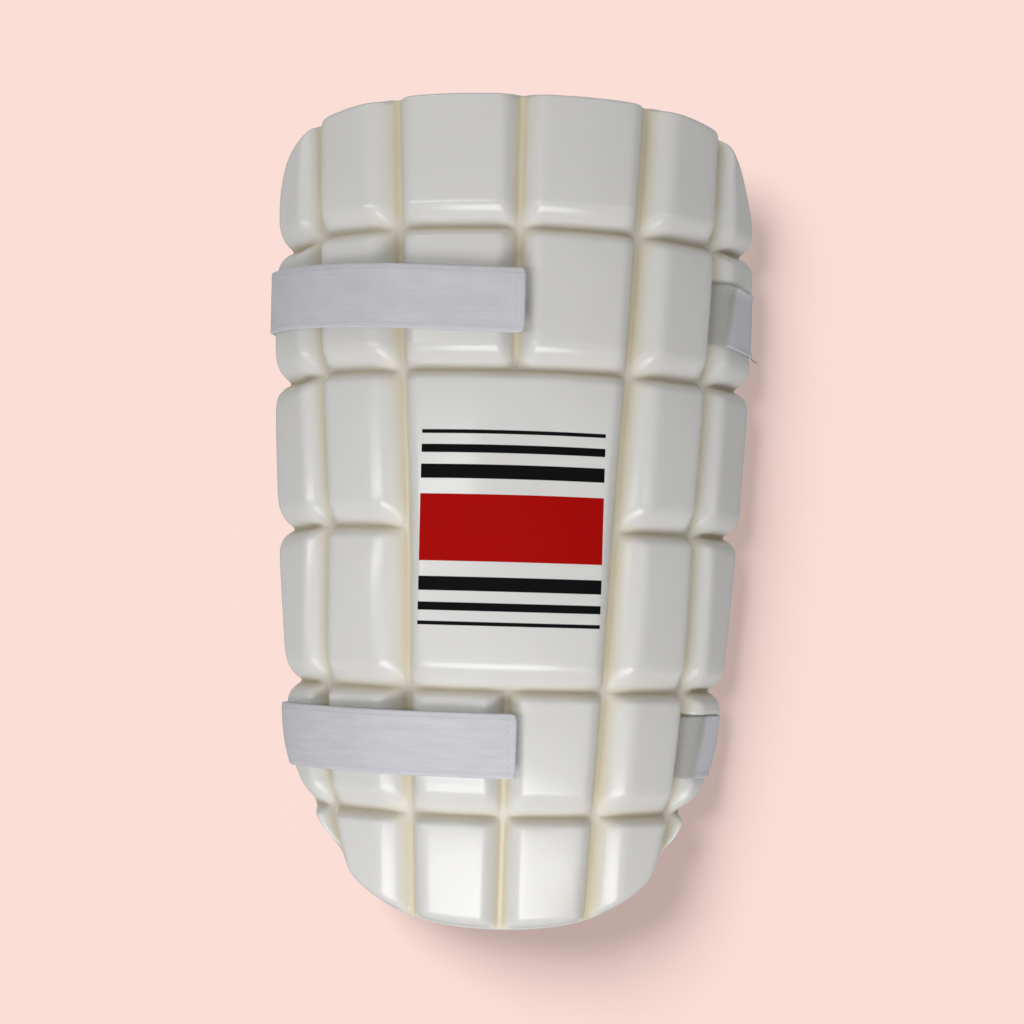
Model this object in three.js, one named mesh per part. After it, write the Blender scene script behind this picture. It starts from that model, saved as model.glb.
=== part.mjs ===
// Cricket thigh guard: a moulded foam shell of pillow blocks with two elastic straps round it.
// Millimetres, +Z up. It rests hollow side down on the backs of its straps, which lie at z = 0.
// +X is across the thigh and +Y runs towards the hip end. A place on the shell is given by s, the way
// round its web from the middle, by y along it, and by h, the height above the front of the web.
import * as THREE from "three";

// Shell
const HALF_LENGTH = 165.4; // hip edge and knee edge from the middle
const WEB_RADIUS = 102; // front of the web across the thigh, at mid length
const RADIUS_TAPER = 0.05; // growth of that radius for each millimetre towards the hip
const CROWN_BOW = 12; // drop of both ends of the crown line below its middle
const CROWN_SLOPE = 0.072; // rise of the crown line towards the hip, as the guard rests
const WEB_THICKNESS = 10;
const RIM_THICKNESS = 4;
const RIM_ROLL = 22; // the way in from the rim over which the web thickens

// Pillow blocks
const BLOCK_HEIGHT = 7.5; // shoulder of a block above the groove floor
const BLOCK_SHOULDER = 7.5; // width of the rounded shoulder
const BLOCK_DOME = 0.8; // extra height in the middle of a block
const DOME_REACH = 20; // the way in from a block's foot over which it domes
const BLOCK_CORNER = 7; // corner radius of a block seen from the front
const GROOVE_HALF = 1.5; // half the width of a groove floor
const CROWN = BLOCK_HEIGHT + BLOCK_DOME;

// Straps and their hook tapes
const GAP = 0.3; // clearance between pieces that touch
const STRAP_WIDTH = 25.5;
const STRAP_THICKNESS = 1.6;
const HOOK_TAPE_WIDTH = 21;
const HOOK_TAPE_THICKNESS = 1.2;
const HOOK_TAPE_SPAN = { from: -37, to: -9 }; // s of its two ends, on the block beside the middle groove
const LIFT = { full: -48, none: -70 }; // s where a strap starts down from its hook tape and meets the crowns
const ANCHOR = { beside: 1.2, above: 0.5 }; // strap end from the outer groove's centre and from its floor
const FLAT_SHARE = 0.86; // share of the width between the rims where a strap lies flat on the floor
const STRAPS = [
  { name: "upper", y: 83, tabEnd: 2.6 },
  { name: "lower", y: -91, tabEnd: 3.8 },
];

// Mesh fineness
const CROSS_LINES = 6; // lines along a strap, edges included
const WRAP_STATIONS = { left: 31, right: 35 }; // stations of a strap round each side
const FLAT_STATIONS = 4; // stations of a strap's flat run
const TAPE_LINES = 3;
const TAPE_STATIONS = 6;
const RIM_SAMPLES = 300;
const SECTION_SAMPLES = 160;
const STEEP_PART = 2; // width of the steep foot of a shoulder
const SHOULDER_OFFSETS = [0, GROOVE_HALF, GROOVE_HALF + STEEP_PART, GROOVE_HALF + BLOCK_SHOULDER];
const LINES_PER_BLOCK = 2 * SHOULDER_OFFSETS.length;

// Lines across the guard from hip to knee: where each meets the middle, the two grooves along each half
// and the rim, as [s, y].
const across = (y, inner, outer, rim) => ({
  middle: [0, y],
  inner: [inner, y],
  outer: [outer, y],
  rim: [rim, y],
});
const LINES = [
  { middle: [0, HALF_LENGTH], inner: [51.5, 165], outer: [90, 160.4], rim: [108, 149] },
  across(111.7, 48.8, 88.7, 116.6),
  across(55.7, 46.1, 86, 117.5),
  across(-5.7, 43.1, 83, 113),
  across(-69.2, 40, 79.7, 105.5),
  across(-118.7, 37.5, 75, 86),
  { middle: [0, -HALF_LENGTH], inner: [35.5, -161.8], outer: [68.5, -141.5], rim: [71.8, -137] },
];
const COLUMNS = ["middle", "inner", "outer", "rim"];
const PANEL = { column: "inner", from: 2, to: 4 }; // the large panel: its groove and its first and last line
const HIP = LINES[0];
const KNEE = LINES.at(-1);
const GROOVE_LINES = LINES.slice(1, -1);
const CROSS_GROOVES = GROOVE_LINES.map((line) => line.middle[1]);

// Rim of the right half from hip to knee, with three points that shape its corners.
const HIP_CORNER = [115.2, 134];
const STRAP_CORNER = [101.2, -97];
const KNEE_CORNER = [57.5, -152.4];
const RIGHT_RIM = [
  HIP.middle,
  HIP.inner,
  HIP.outer,
  HIP.rim,
  HIP_CORNER,
  ...GROOVE_LINES.slice(0, -1).map((line) => line.rim),
  STRAP_CORNER,
  GROOVE_LINES.at(-1).rim,
  KNEE.rim,
  KNEE.outer,
  KNEE_CORNER,
  KNEE.inner,
  KNEE.middle,
];
const LEFT_RIM = RIGHT_RIM.slice(1, -1)
  .reverse()
  .map(([s, y]) => [-s, y]);
const WHOLE_RIM = [...RIGHT_RIM, ...LEFT_RIM].map(([s, y]) => new THREE.Vector3(s, y, 0));
const rimCurve = new THREE.CatmullRomCurve3(WHOLE_RIM, true, "centripetal");
const rimPoints = rimCurve.getPoints(RIM_SAMPLES).map((p) => new THREE.Vector2(p.x, p.y));

const { lerp, clamp } = THREE.MathUtils;

// Point of the rim between two of its named points.
function rimBetween(from, to, share) {
  const index = lerp(RIGHT_RIM.indexOf(from), RIGHT_RIM.indexOf(to), share);
  const point = rimCurve.getPoint(index / WHOLE_RIM.length);
  return new THREE.Vector2(point.x, point.y);
}

// Distance from a point of the flattened shell to the rim.
function rimDistance(s, y) {
  let nearest = Infinity;
  for (let i = 1; i < rimPoints.length; i++) {
    const a = rimPoints[i - 1];
    const b = rimPoints[i];
    const along = new THREE.Vector2(b.x - a.x, b.y - a.y);
    const share = clamp(((s - a.x) * along.x + (y - a.y) * along.y) / along.lengthSq(), 0, 1);
    nearest = Math.min(nearest, Math.hypot(s - a.x - share * along.x, y - a.y - share * along.y));
  }
  return nearest;
}

// Half width to the rim at a place along the guard.
function rimHalfWidth(y) {
  let width = 0;
  for (let i = 1; i < rimPoints.length; i++) {
    const a = rimPoints[i - 1];
    const b = rimPoints[i];
    if ((a.y - y) * (b.y - y) <= 0 && a.y !== b.y) {
      width = Math.max(width, lerp(a.x, b.x, (y - a.y) / (b.y - a.y)));
    }
  }
  return width;
}

// Half width to a groove along the guard, straight between the lines across it.
function grooveHalfWidth(column, y) {
  const last = LINES.length - 2;
  let i = 0;
  while (i < last && y < LINES[i + 1][column][1]) i++;
  const [s0, y0] = LINES[i][column];
  const [s1, y1] = LINES[i + 1][column];
  return lerp(s0, s1, (y - y0) / (y1 - y0));
}

// A point of the shell's grid: column 0 is the middle and 3 the right rim, line 0 the hip edge and 6 the knee
// edge. Inside it is bilinear between the lines, and beside the rim it takes on the rim's curve.
function gridPoint(column, line) {
  const side = Math.sign(column);
  const j = Math.min(Math.floor(Math.abs(column)), COLUMNS.length - 2);
  const i = Math.min(Math.floor(line), LINES.length - 2);
  const u = Math.abs(column) - j;
  const v = line - i;
  const corner = (di, dj) => LINES[i + di][COLUMNS[j + dj]];
  const vector = (pair) => new THREE.Vector2(...pair);
  const chord = (from, to, share) => vector(from).lerp(vector(to), share);
  const point = chord(corner(0, 0), corner(0, 1), u).lerp(chord(corner(1, 0), corner(1, 1), u), v);
  const bulge = (from, to, share, weight) =>
    point.addScaledVector(rimBetween(from, to, share).sub(chord(from, to, share)), weight);
  if (i === 0) bulge(corner(0, 0), corner(0, 1), u, 1 - v);
  if (i === LINES.length - 2) bulge(corner(1, 0), corner(1, 1), u, v);
  if (j === COLUMNS.length - 2) bulge(corner(0, 1), corner(1, 1), v, u);
  return { s: side * point.x, y: point.y };
}

// Height of the blocks over the web. A block rises from the nearest groove or the rim in a quarter ellipse,
// its corners rounded, and then domes a little.
function blockHeight(s, y) {
  const half = Math.abs(s);
  const panelEdge = grooveHalfWidth(PANEL.column, y);
  const inPanel = half < panelEdge && y < LINES[PANEL.from].middle[1] && y > LINES[PANEL.to].middle[1];
  const sides = [Math.abs(half - panelEdge), Math.abs(half - grooveHalfWidth("outer", y))];
  if (!inPanel) sides.push(half);
  const ends = CROSS_GROOVES.filter((_, i) => !inPanel || i + 1 === PANEL.from || i + 1 === PANEL.to);
  const nearest = [
    Math.min(...sides) - GROOVE_HALF,
    Math.min(...ends.map((groove) => Math.abs(y - groove))) - GROOVE_HALF,
    rimDistance(s, y),
  ];
  const short = nearest.map((distance) => Math.max(BLOCK_CORNER - distance, 0));
  const inside = nearest.every((distance) => distance > BLOCK_CORNER)
    ? Math.min(...nearest)
    : BLOCK_CORNER - Math.hypot(...short);
  const rise = 1 - clamp(inside / BLOCK_SHOULDER, 0, 1);
  const dome = 1 - clamp(inside / DOME_REACH, 0, 1);
  return BLOCK_HEIGHT * Math.sqrt(1 - rise ** 2) + BLOCK_DOME * (1 - dome ** 2);
}

// Thickness of the web behind the blocks, thin at the rim.
function webThickness(s, y) {
  const thin = 1 - clamp(rimDistance(s, y) / RIM_ROLL, 0, 1);
  return lerp(WEB_THICKNESS, RIM_THICKNESS, thin ** 2);
}

// A place on the shell in space. The web's crown at mid length is at z = 0 until the whole is set down.
function place(s, y, h) {
  const radius = WEB_RADIUS + RADIUS_TAPER * y;
  const crown = CROWN_SLOPE * y - CROWN_BOW * (y / HALF_LENGTH) ** 2;
  const turn = s / radius;
  return new THREE.Vector3(
    (radius + h) * Math.sin(turn),
    y,
    crown - radius + (radius + h) * Math.cos(turn),
  );
}

// Mesh of a closed body from its vertices and faces of three or four corners.
function bodyOf(name, vertices, faces, material) {
  const index = faces.flatMap(([a, b, c, d]) => (d === undefined ? [a, b, c] : [a, b, c, a, c, d]));
  const geometry = new THREE.BufferGeometry().setFromPoints(vertices).setIndex(index);
  geometry.computeVertexNormals();
  const mesh = new THREE.Mesh(geometry, material);
  mesh.name = name;
  return mesh;
}

// Grid lines through cells of the given widths: at each groove, at both ends of each shoulder and mid block.
function gridLines(widths, start) {
  const lines = widths.flatMap((width, cell) => [
    ...SHOULDER_OFFSETS.map((offset) => start + cell + offset / width),
    start + cell + 0.5,
    ...SHOULDER_OFFSETS.slice(1)
      .reverse()
      .map((offset) => start + cell + 1 - offset / width),
  ]);
  return [...lines, start + widths.length];
}

// The moulded shell: a fine grid of blocks in front, a coarse smooth back, and the rim wall between them.
function moulding(material) {
  const { inner, outer, rim } = LINES[(LINES.length - 1) / 2];
  const halfWidths = [inner[0], outer[0] - inner[0], rim[0] - outer[0]];
  const columns = gridLines([...halfWidths].reverse().concat(halfWidths), 1 - COLUMNS.length);
  const rows = gridLines(
    LINES.slice(1).map((line, i) => LINES[i].middle[1] - line.middle[1]),
    0,
  );
  const fromRim = SHOULDER_OFFSETS.length - 1;
  const coarse = (count) =>
    [...Array(count).keys()].filter(
      (i) => i % (LINES_PER_BLOCK / 2) === 0 || Math.min(i, count - 1 - i) === fromRim,
    );
  const backColumns = coarse(columns.length);
  const backRows = coarse(rows.length);

  const vertices = [];
  const heights = [];
  const faces = [];
  const add = (s, y, h) => {
    heights.push(h);
    return vertices.push(place(s, y, h)) - 1;
  };
  const front = rows.map((line) =>
    columns.map((column) => {
      const { s, y } = gridPoint(column, line);
      const onRim = Math.abs(column) === COLUMNS.length - 1 || line % (LINES.length - 1) === 0;
      return add(s, y, onRim ? 0 : blockHeight(s, y));
    }),
  );
  const back = backRows.map((r) =>
    backColumns.map((c) => {
      const { s, y } = gridPoint(columns[c], rows[r]);
      return add(s, y, -webThickness(s, y));
    }),
  );
  // Each face is split between its first and third corners, so it starts on its higher pair to stay convex.
  const tile = (grid, turned) =>
    grid.slice(1).forEach((row, i) =>
      row.slice(1).forEach((_, j) => {
        const [a, b, c, d] = [grid[i][j], row[j], row[j + 1], grid[i][j + 1]];
        const face = heights[a] + heights[c] < heights[b] + heights[d] ? [b, c, d, a] : [a, b, c, d];
        faces.push(turned ? face.reverse() : face);
      }),
    );
  tile(front, false);
  tile(back, true);

  // One side of the rim wall: each coarse step of the back's edge is fanned to the fine steps in front of it.
  const wall = (fine, sparse, steps, turned) =>
    sparse.slice(1).forEach((end, k) => {
      const middle = Math.floor((steps[k] + steps[k + 1]) / 2);
      for (let i = steps[k]; i < steps[k + 1]; i++) {
        const face = [fine[i], fine[i + 1], i < middle ? sparse[k] : end];
        faces.push(turned ? face.reverse() : face);
      }
      const face = [sparse[k], fine[middle], end];
      faces.push(turned ? face.reverse() : face);
    });
  const columnOf = (grid, j) => grid.map((row) => row.at(j));
  wall(front[0], back[0], backColumns, false);
  wall(front.at(-1), back.at(-1), backColumns, true);
  wall(columnOf(front, 0), columnOf(back, 0), backRows, true);
  wall(columnOf(front, -1), columnOf(back, -1), backRows, false);
  return bodyOf("foam_guard", vertices, faces, material);
}

// A closed body lofted through rings of equal count, each ring a lower run and an upper run of points.
function loft(name, rings, material) {
  const runs = rings[0].lower.length;
  const count = 2 * runs;
  const vertices = rings.flatMap(({ lower, upper }) => [...lower, ...[...upper].reverse()]);
  const faces = [];
  for (let i = 0; i + 1 < rings.length; i++) {
    for (let k = 0; k < count; k++) {
      const a = i * count + k;
      const b = i * count + ((k + 1) % count);
      faces.push([a, a + count, b + count, b]);
    }
  }
  const last = (rings.length - 1) * count;
  for (let k = 0; k + 1 < runs; k++) {
    const cap = [k, k + 1, count - 2 - k, count - 1 - k];
    faces.push(cap, [...cap].reverse().map((corner) => corner + last));
  }
  return bodyOf(name, vertices, faces, material);
}

const outward = (angle) => new THREE.Vector3(Math.cos(angle), 0, Math.sin(angle));
const farthest = (points, direction) =>
  points.reduce((best, point) => (point.dot(direction) > best.dot(direction) ? point : best));
const spread = (count) => [...Array(count).keys()].map((i) => i / (count - 1));

// What a taut strap wraps in the section at y: on the left the crowns from its tab end on, on the right the one
// outer block, on both sides the rim, and last the anchor where it is sewn down.
function wrappedPoints(y, tabEnd) {
  const rim = rimHalfWidth(y);
  const groove = grooveHalfWidth("outer", y);
  const shoulder = (s) => {
    const rise = 1 - clamp(rimDistance(s, y) / BLOCK_SHOULDER, 0, 1);
    return CROWN * Math.sqrt(1 - rise ** 2);
  };
  const left = spread(SECTION_SAMPLES).map((t) => lerp(tabEnd, -rim, t));
  const right = spread(SECTION_SAMPLES).map((t) => lerp(groove + GROOVE_HALF, rim, t));
  return {
    left: [...left.map((s) => place(s, y, shoulder(s))), place(-rim, y, -RIM_THICKNESS)],
    right: [...right.map((s) => place(s, y, blockHeight(s, y))), place(rim, y, -RIM_THICKNESS)],
    anchor: place(groove + ANCHOR.beside, y, ANCHOR.above),
  };
}

const DOWN = 1.5 * Math.PI;
const lowestOf = (points) => Math.min(...points.map((point) => point.z));
const strapLines = ({ y }) => spread(CROSS_LINES).map((t) => y + STRAP_WIDTH * (t - 0.5));
const FLOOR =
  Math.min(
    ...STRAPS.flatMap((strap) =>
      strapLines(strap).map((y) => lowestOf(wrappedPoints(y, strap.tabEnd).left)),
    ),
  ) -
  GAP -
  STRAP_THICKNESS;

// One line along a strap, as pairs of an inner and an outer point. A station of the wrapped part is the point
// of the section that lies farthest out in a direction, moved out in that direction by the clearance.
function strapLine(y, tabEnd) {
  const { left, right, anchor } = wrappedPoints(y, tabEnd);
  const radius = WEB_RADIUS + RADIUS_TAPER * y;
  const liftAt = (angle) => {
    const s = (Math.PI / 2 - angle) * radius;
    const share = THREE.MathUtils.smoothstep(s, LIFT.none, LIFT.full);
    return share * (HOOK_TAPE_THICKNESS + GAP);
  };
  const off = (point, angle, lift) => ({
    inner: point.clone().addScaledVector(outward(angle), GAP + lift),
    outer: point.clone().addScaledVector(outward(angle), GAP + lift + STRAP_THICKNESS),
  });
  const wrap = (points, from, to, count, lift) =>
    spread(count).map((t) => {
      const angle = lerp(from, to, t);
      return off(farthest(points, outward(angle)), angle, lift(angle));
    });
  const start = Math.PI / 2 - tabEnd / radius;
  const steepest = Math.max(...right.map(({ x, z }) => Math.atan2(z - anchor.z, x - anchor.x)));
  const end = steepest + DOWN + Math.PI;
  const flat = spread(FLAT_STATIONS).map((t) => {
    const x = lerp(-1, 1, t) * FLAT_SHARE * right.at(-1).x;
    return {
      inner: new THREE.Vector3(x, y, FLOOR + STRAP_THICKNESS),
      outer: new THREE.Vector3(x, y, FLOOR),
    };
  });
  return [
    ...wrap(left, start, DOWN, WRAP_STATIONS.left, liftAt),
    ...flat,
    ...wrap(right, DOWN, end, WRAP_STATIONS.right, () => 0),
    off(anchor, end, 0),
  ];
}

// A strap: from its tab end over three crowns, round the left rim, flat across behind the hollow, round the
// right rim and over one crown into the outer groove, where it is sewn down.
function strapBody(strap, material) {
  const lines = strapLines(strap).map((y) => strapLine(y, strap.tabEnd));
  const rings = lines[0].map((_, i) => ({
    lower: lines.map((line) => line[i].inner),
    upper: lines.map((line) => line[i].outer),
  }));
  return loft(`${strap.name}_strap`, rings, material);
}

// The hook tape under a strap's tab end, lying on the crown of one block.
function hookTape(strap, material) {
  const lines = spread(TAPE_LINES).map((t) => strap.y + HOOK_TAPE_WIDTH * (t - 0.5));
  const rings = spread(TAPE_STATIONS).map((t) => {
    const s = lerp(HOOK_TAPE_SPAN.to, HOOK_TAPE_SPAN.from, t);
    return {
      lower: lines.map((y) => place(s, y, CROWN + GAP)),
      upper: lines.map((y) => place(s, y, CROWN + GAP + HOOK_TAPE_THICKNESS)),
    };
  });
  return loft(`${strap.name}_hook_tape`, rings, material);
}

const finish = (color, roughness) => new THREE.MeshStandardMaterial({ color, roughness, metalness: 0 });
const FOAM_SKIN = finish(0xe4e3dc, 0.35);
const ELASTIC = finish(0xc6c6cc, 0.85);
const HOOK_TAPE = finish(0xb9b9bd, 0.7);

const setDown = new THREE.Group();
setDown.position.z = -FLOOR;
setDown.add(moulding(FOAM_SKIN));
for (const strap of STRAPS) {
  setDown.add(strapBody(strap, ELASTIC), hookTape(strap, HOOK_TAPE));
}

const thighGuard = new THREE.Group();
thighGuard.name = "thigh_guard";
thighGuard.add(setDown);

export default thighGuard;
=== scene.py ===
"""Looks of a cricket thigh guard: a moulded shell of pillow blocks with two elastic straps round it.

Lengths are millimetres until a mesh is made. A place on the shell is s, the way round the front of its web
from the middle, y, the way along it towards the hip, and h, the height over the front of the web.
"""
import math

import bpy
import numpy as np
from mathutils import Matrix, Vector


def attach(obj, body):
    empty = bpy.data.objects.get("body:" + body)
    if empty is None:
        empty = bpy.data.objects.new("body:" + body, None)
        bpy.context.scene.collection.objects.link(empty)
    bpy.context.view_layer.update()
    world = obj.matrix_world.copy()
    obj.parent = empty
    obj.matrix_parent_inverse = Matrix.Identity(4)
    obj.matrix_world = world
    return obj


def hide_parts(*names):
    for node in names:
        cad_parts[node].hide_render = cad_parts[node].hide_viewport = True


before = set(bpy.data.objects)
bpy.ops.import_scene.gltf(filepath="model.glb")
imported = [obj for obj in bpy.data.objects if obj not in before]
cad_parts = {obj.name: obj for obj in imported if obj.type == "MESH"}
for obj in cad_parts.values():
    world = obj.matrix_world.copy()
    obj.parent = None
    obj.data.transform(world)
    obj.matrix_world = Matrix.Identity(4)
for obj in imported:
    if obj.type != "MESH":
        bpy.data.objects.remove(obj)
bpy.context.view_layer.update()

MM = 0.001

# Shell
HALF_LENGTH = 165.4  # hip edge and knee edge from the middle
WEB_RADIUS = 102  # front of the web across the thigh, at mid length
RADIUS_TAPER = 0.05  # its growth for each millimetre towards the hip
CROWN_BOW = 12  # drop of the crown line to both ends
CROWN_SLOPE = 0.072  # its rise towards the hip, as the guard rests
WEB_THICKNESS = 10
RIM_THICKNESS = 4
RIM_ROLL = 22  # the way in from the rim over which the web thickens
RIM_BEAD = 0.8  # how far the rim's half-round edge stands out
RIM_NOTCH = {"left": 4.5, "right": 2.5}  # how far the rim draws in at a groove across the guard
NOTCH_REACH = 2.5
NOTCH_ZONE = (-115, -90)  # y over which the left rim gets its notches
KNEE_WIDER = 3.3  # how much wider the left knee corner is, which has no notch
KNEE_WIDER_AT = -122
KNEE_WIDER_REACH = 16
HIP_SCALLOP = 0.7  # how far the hip edge draws in at a groove along the guard
SCALLOP_REACH = 3
CORNER_DRAW = np.array([4.4, 3.3])  # how far the right corner of the hip edge is drawn in and down
CORNER_AT = np.array([112, 143])
CORNER_REACH = 18

# Pillow blocks
BLOCK_HEIGHT = 7.5  # shoulder of a block above the groove floor
INWARD_SHOULDER = 12.5  # width of a shoulder beside an inner groove, facing the middle
OUTWARD_SHOULDER = 8.5  # facing out, or the middle groove
OUTER_SHOULDER = 9.5  # at most, on the outermost blocks
LEAST_OUTER_SHOULDER = 2  # at least there
OUTER_SHARE = 0.35  # share of a narrow block's width that it takes
KNEE_SHOULDER = 10  # beside a groove across the guard, facing the knee
HIP_SHOULDER = 5  # facing the hip
OUTER_KNEE_SHOULDER = {"left": 14.5, "right": 10}  # the same two at the rim
OUTER_HIP_SHOULDER = {"left": 11, "right": 8.5}
OUTER_WIDTH_FADE = 25  # the way out over which they get so wide
OUTER_BULGE = 0.35  # how much steeper they are at their foot there
OUTER_FADE = 15  # the way over which they get so steep, and the grooves deeper
LEAST_OUTER_BLOCK = 3  # least width that an outermost block counts as
RIM_SHOULDER = 5.5  # at the rim
HIP_EDGE_SHOULDER = 2  # at the hip edge
HIP_ZONE = (110, 150)  # y over which the one becomes the other
HIP_SIDE_ZONE = (95, 55)  # half width over which it does
SHOULDER_POWER = 2.5  # how soon a shoulder turns flat
SIDE_FOOT = 1.1  # how rounded a groove along the guard is
END_FOOT = 1.35  # of one across it
BLOCK_DOME = 0.8  # height that a face gains away from the rim and the grooves across the guard
DOME_REACH = 20  # the way in over which it does
FACE_FLAT = 1.3  # height that it loses away from the grooves along the guard
SIDE_GROOVE_HALF = 1.0  # half the floor of the middle groove and the inner ones
OUTER_GROOVE_HALF = 0.8  # of an outer groove
END_GROOVE_HALF = 0.5  # of a groove across the guard
END_FLOOR = 0.22  # height of its floor as a share of the blocks', except at the outermost ones
GROOVE_BOW = {"left": 0.036, "right": 0.02}  # share by which the grooves along the guard bow in
BOW_REACH = 50
GROOVE_DROP = 0.02  # drop of those across it at the left rim, for each millimetre above DROP_FROM
DROP_FROM = -69
DROP_ZONE = (80, 105)  # half width over which they drop
CREASE_DEPTH = 0.4  # how far a groove cuts into the web
CREASE_FADE = 20  # the way in from the rim over which it does
CROWN = BLOCK_HEIGHT + BLOCK_DOME
UNEVEN = 0.07  # height of the faces' slow waves
# Their shares of it, lengths across and along the guard for each radian, and starts
WAVES = ((0.5, 7.3, -9.1, math.pi / 2 - 0.7), (0.5, 7.3, 9.1, 1.5 - math.pi / 2), (1, 17, 13, 2.0))

# Painted shade in the grooves: a cream tint, and an olive band and lines with some soil in them
CREAM_HEIGHT = 4.5  # height over a groove's floor where the cream tint of painted shade ends
CREAM_ABOVE = 1.4  # how much sooner it ends above a groove across the guard
CREAM_BELOW = 0.4  # below it
CREAM_REACH = 7
NODE_CLEAR = 2.4  # how much lower it ends where two grooves cross
NODE_REACH = 5
SHADE_BELOW = 1.0  # the band of painted shade with some soil under a groove across the guard, from its centre
SHADE_HALF = 1.3  # half its width
SHADE_CLEAR = 5  # how far it keeps from a groove along the guard
SHADE_LINES = 0.5  # strength of the lines of painted shade in the grooves along the guard
SHADE_LINE_HALF = 0.7
SHADE_LINE_CLEAR = 6  # how far they keep from a groove across it

# Straps, their hook tapes and their stitches
GAP = 0.3  # clearance between pieces that touch
STRAP_WIDTH = 25.5
STRAP_THICKNESS = 1.6
TAB_CORNER = 2.2  # corner radius of a tab end
TAB_HEM = 4.6  # length of the folded hem at a tab end
HEM_RISE = 0.35
HEM_EDGE = 0.7  # the way over which it ends
TAB_TIP = 0.02  # square of the share of its thickness that the tip keeps
HOOK_TAPE_WIDTH = 21
HOOK_TAPE_THICKNESS = 1.2
HOOK_TAPE_SPAN = (-37, -9)  # s of its two ends
TAPE_EDGE = 7  # the way round it over which the face under it flattens
LIFT_ZONE = (-70, -48)  # s over which a strap comes up from the crowns to its hook tape
ANCHOR_BESIDE = 0.8  # strap end from the outer groove's centre
ANCHOR_ABOVE = -1.6  # strap end from the web's front
FLAT_SHARE = 0.86  # share of the width between the rims where a strap lies flat
PRESS = 2  # how far a strap sinks into the outer block on the right
PRESS_EDGE = 2.5  # the way over which the foam comes up again beside it
PRESS_FADE = 5  # the way from the outer groove over which it sinks in
DRIFT_SHARES = (0, 0.33, 0.6, 0.9, 1)  # shares of a strap's length where its drift is given
# Each strap's place along the guard, s of its tab end, drift towards the hip, and whether a thread is loose
STRAPS = {
    "upper": {"y": 83, "tab_end": 2.6, "drift": (-1.9, 3.2, 0, -0.6, 1.6), "loose": True},
    "lower": {"y": -91, "tab_end": 3.8, "drift": (0, 0, 0, -1.0, -1.0), "loose": False},
}
LOOSE_THREAD = {"length": 3.4, "radius": 0.22, "way": (0.8, -0.7, 0.2)}
STITCH = {"length": 2.6, "slant": 0.9, "pitch": 2.2, "radius": 0.2, "from_end": 3.4}
STITCH_BOW = 0.42  # how far a stitch bows out
STITCH_SUNK = 0.2  # how deep its ends lie in the elastic
STITCH_PULL = 0.22  # how far it pulls the elastic down
STITCH_PULL_REACH = 0.8
THREAD_BLUNT = 6  # how late a thread tapers
THREAD_TIP = 0.05  # square of the share of its radius that its ends keep


def across(y, inner, outer, rim):
    """A groove across the guard at y, by where it meets the grooves along it and the rim."""
    return [(0, y), (inner, y), (outer, y), (rim, y)]


# Lines across the guard from hip to knee, each at the middle, the inner groove, the outer groove and the rim
LINES = np.array(
    [
        [(0, HALF_LENGTH), (51.5, 165), (90, 160.4), (108, 149)],
        across(111.7, 48.8, 88.7, 116.6),
        across(55.7, 46.1, 86, 117.5),
        across(-5.7, 43.1, 83, 113),
        across(-69.2, 40, 79.7, 105.5),
        across(-118.7, 37.5, 75, 86),
        [(0, -HALF_LENGTH), (35.5, -161.8), (68.5, -141.5), (71.8, -137)],
    ]
)
LINE_COUNT, COLUMN_COUNT = LINES.shape[:2]
INNER, OUTER, EDGE = 1, 2, 3  # columns of LINES beside the middle
PANEL_FROM, PANEL_TO = 2, 4  # the large panel's first and last line
HIP_CORNER = (115.2, 134)  # points of the rim between those lines' ends
STRAP_CORNER = (101.2, -97)
KNEE_CORNER = (57.5, -152.4)
RIGHT_RIM = np.array(
    [*LINES[0], HIP_CORNER, *LINES[1:5, EDGE], STRAP_CORNER, LINES[5, EDGE]]
    + [LINES[6, EDGE], LINES[6, OUTER], KNEE_CORNER, LINES[6, INNER], LINES[6, 0]]
)
WHOLE_RIM = np.concatenate([RIGHT_RIM, (RIGHT_RIM * (-1, 1))[-2:0:-1]])
HIP_PLACES = (0, 1, 2, 3)  # places in the rim of the hip line's columns
SIDE_PLACES = (3, 5, 6, 7, 8, 10, 11)  # of each line's own end
KNEE_PLACES = (15, 14, 12, 11)  # of the knee line's columns

# Fineness
FLOOR_STEPS = 2  # across half a groove floor
SHOULDER_STEPS = 12
SHOULDER_CROWD = 1.3  # how much closer they are at the foot of a shoulder
FACE_STEPS = 12
BACK_STRIDE = 4  # lines of the front for each line of the back
BEAD_STEPS = 6
RIM_SAMPLES = 400
SECTION_SAMPLES = 500
WRAP_STEPS = 140
FLOOR_LINES = 6  # across a strap, which may reach the floor first
STRAP_LINES = 13
STRAP_REACH = 0.65  # how far they go to either side, as a share of its width
SURFACE_OVERS = np.linspace(-STRAP_REACH, STRAP_REACH, STRAP_LINES) * STRAP_WIDTH
STRAP_SAMPLES = 1200
DRIFT_SAMPLES = 200
EDGE_SAMPLES = 400
STRAP_STATIONS = 260
TAB_STATIONS = 24
TAB_SHARE = 0.03  # share of a strap's length that has these
BAND_POINTS = 15  # across one face of a strap
TAPE_POINTS = 12  # of a hook tape
TAPE_STATIONS = 40
BAND_EDGE_STEPS = 4
THREAD_STATIONS = 9
THREAD_SIDES = 6


def smooth(t):
    """A smooth step from 0 to 1 as t goes from 0 to 1."""
    t = np.clip(t, 0, 1)
    return t * t * (3 - 2 * t)


def ramp(x, zone):
    """A smooth step from 0 at the start of a zone to 1 at its end."""
    start, end = zone
    return smooth((x - start) / (end - start))


def bell(t):
    """A bell curve: 1 where t is 0, falling off to both sides."""
    return np.exp(-(t**2))


def by_side(s, values):
    """The left or the right one of two values, by the sign of s."""
    return np.where(s < 0, values["left"], values["right"])


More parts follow.
